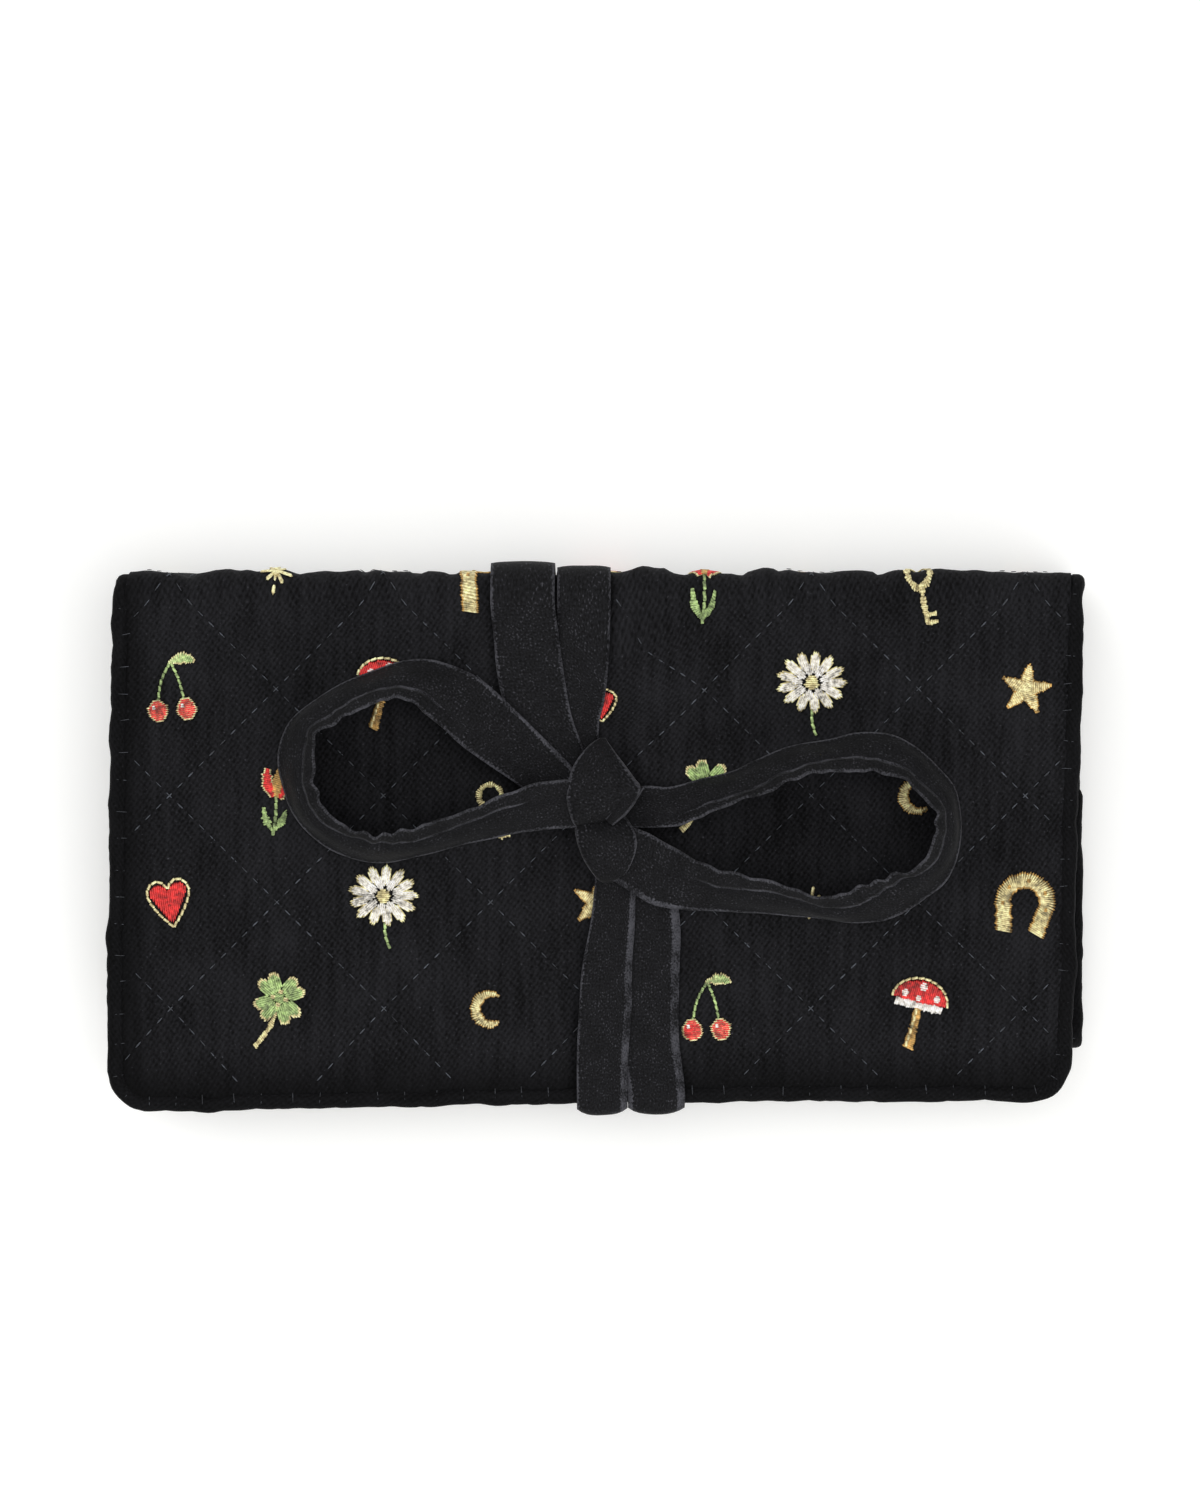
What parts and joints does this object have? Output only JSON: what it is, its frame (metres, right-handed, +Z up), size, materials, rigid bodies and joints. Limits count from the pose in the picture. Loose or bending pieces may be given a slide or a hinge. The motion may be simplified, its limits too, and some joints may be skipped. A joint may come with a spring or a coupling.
{
  "type": "jewelry roll",
  "caption": "Quilted velvet jewelry roll folded in three and tied shut with a ribbon bow, with a folding flap, an inner panel, slip pockets and a zipped pocket",
  "frame": {"origin": "The middle of the closed roll's box, on the surface that its back lies on.", "axes": "+X along the width to the right as the tied front is seen, +Y towards the top fold, +Z up from the back through the stack to the bow."},
  "size_m": [0.2202, 0.124, 0.0404],
  "materials": {
    "velvet": "near-black quilted velvet, embroidered",
    "ribbon": "black velvet ribbon with a woven selvedge",
    "binding": "bound velvet edge",
    "lining": "soft grey satin",
    "wadding": "polyester wadding",
    "zip_tape": "woven black zip tape with moulded teeth",
    "zip_metal": "polished brass"
  },
  "bodies": {
    "back": {"back_cover": "velvet", "back_wadding": "wadding", "back_lining": "lining", "back_binding_left": "binding", "back_binding_right": "binding", "top_fold_roll": "velvet", "bottom_fold_roll": "velvet", "tie_back_band": "ribbon", "tie_back_upper_tail": "ribbon", "tie_back_lower_tail": "ribbon", "pocket_front": "lining", "pocket_band": "lining", "zip_tape_upper": "zip_tape", "zip_tape_lower": "zip_tape", "zip_end_tab_left": "lining", "zip_end_tab_right": "lining"},
    "top_spine": {"spine_cover": "velvet", "spine_wadding": "wadding", "spine_lining": "lining", "spine_binding_left": "binding", "spine_binding_right": "binding", "tie_spine_band": "ribbon", "tie_spine_tail": "ribbon"},
    "flap": {"flap_cover": "velvet", "flap_wadding": "wadding", "flap_lining": "lining", "flap_binding": "binding", "flap_fold_roll": "velvet", "flap_pocket": "lining", "knot_wrap": "ribbon", "knot_tuck": "ribbon", "tie_upper_band": "ribbon", "tie_upper_tail": "ribbon", "tie_lower_band": "ribbon", "tie_lower_tail": "ribbon", "bow_loop_left": "ribbon", "bow_loop_right": "ribbon"},
    "bottom_spine": {"bottom_spine": "velvet", "tie_bottom_band": "ribbon", "tie_bottom_tail": "ribbon"},
    "inner": {"inner_cover": "velvet", "inner_wadding": "wadding", "inner_lining": "lining", "inner_binding": "binding", "inner_fold_roll": "velvet", "inner_pocket": "lining"},
    "slider": {"zip_slider": "zip_metal"},
    "pull": {"zip_pull": "zip_metal"}
  },
  "joints": [
    {"name": "top_fold", "type": "hinge", "parent": "back", "child": "top_spine", "pos_m": [0, 0.0569, 0.003], "axis": [-1, 0, 0], "range_deg": [0, 80]},
    {"name": "flap_fold", "type": "hinge", "parent": "top_spine", "child": "flap", "pos_m": [0, 0.0569, 0.027], "axis": [-1, 0, 0], "range_deg": [0, 85]},
    {"name": "bottom_fold", "type": "hinge", "parent": "back", "child": "bottom_spine", "pos_m": [0, -0.0471, 0.003], "axis": [1, 0, 0], "range_deg": [0, 90]},
    {"name": "inner_fold", "type": "hinge", "parent": "bottom_spine", "child": "inner", "pos_m": [0, -0.0471, 0.012], "axis": [1, 0, 0], "range_deg": [0, 90]},
    {"name": "zip_slide", "type": "slide", "parent": "back", "child": "slider", "axis": [1, 0, 0], "range_m": [-0.168, 0]},
    {"name": "zip_pull_swing", "type": "hinge", "parent": "slider", "child": "pull", "pos_m": [0.0862, 0.041, 0.0121], "axis": [0, 1, 0], "range_deg": [0, 180]}
  ],
  "couplings": [
    {"joint": "flap_fold", "follows": "top_fold", "ratio": 1.0625},
    {"joint": "bottom_fold", "follows": "top_fold", "ratio": 1.125},
    {"joint": "inner_fold", "follows": "top_fold", "ratio": 1.125}
  ]
}
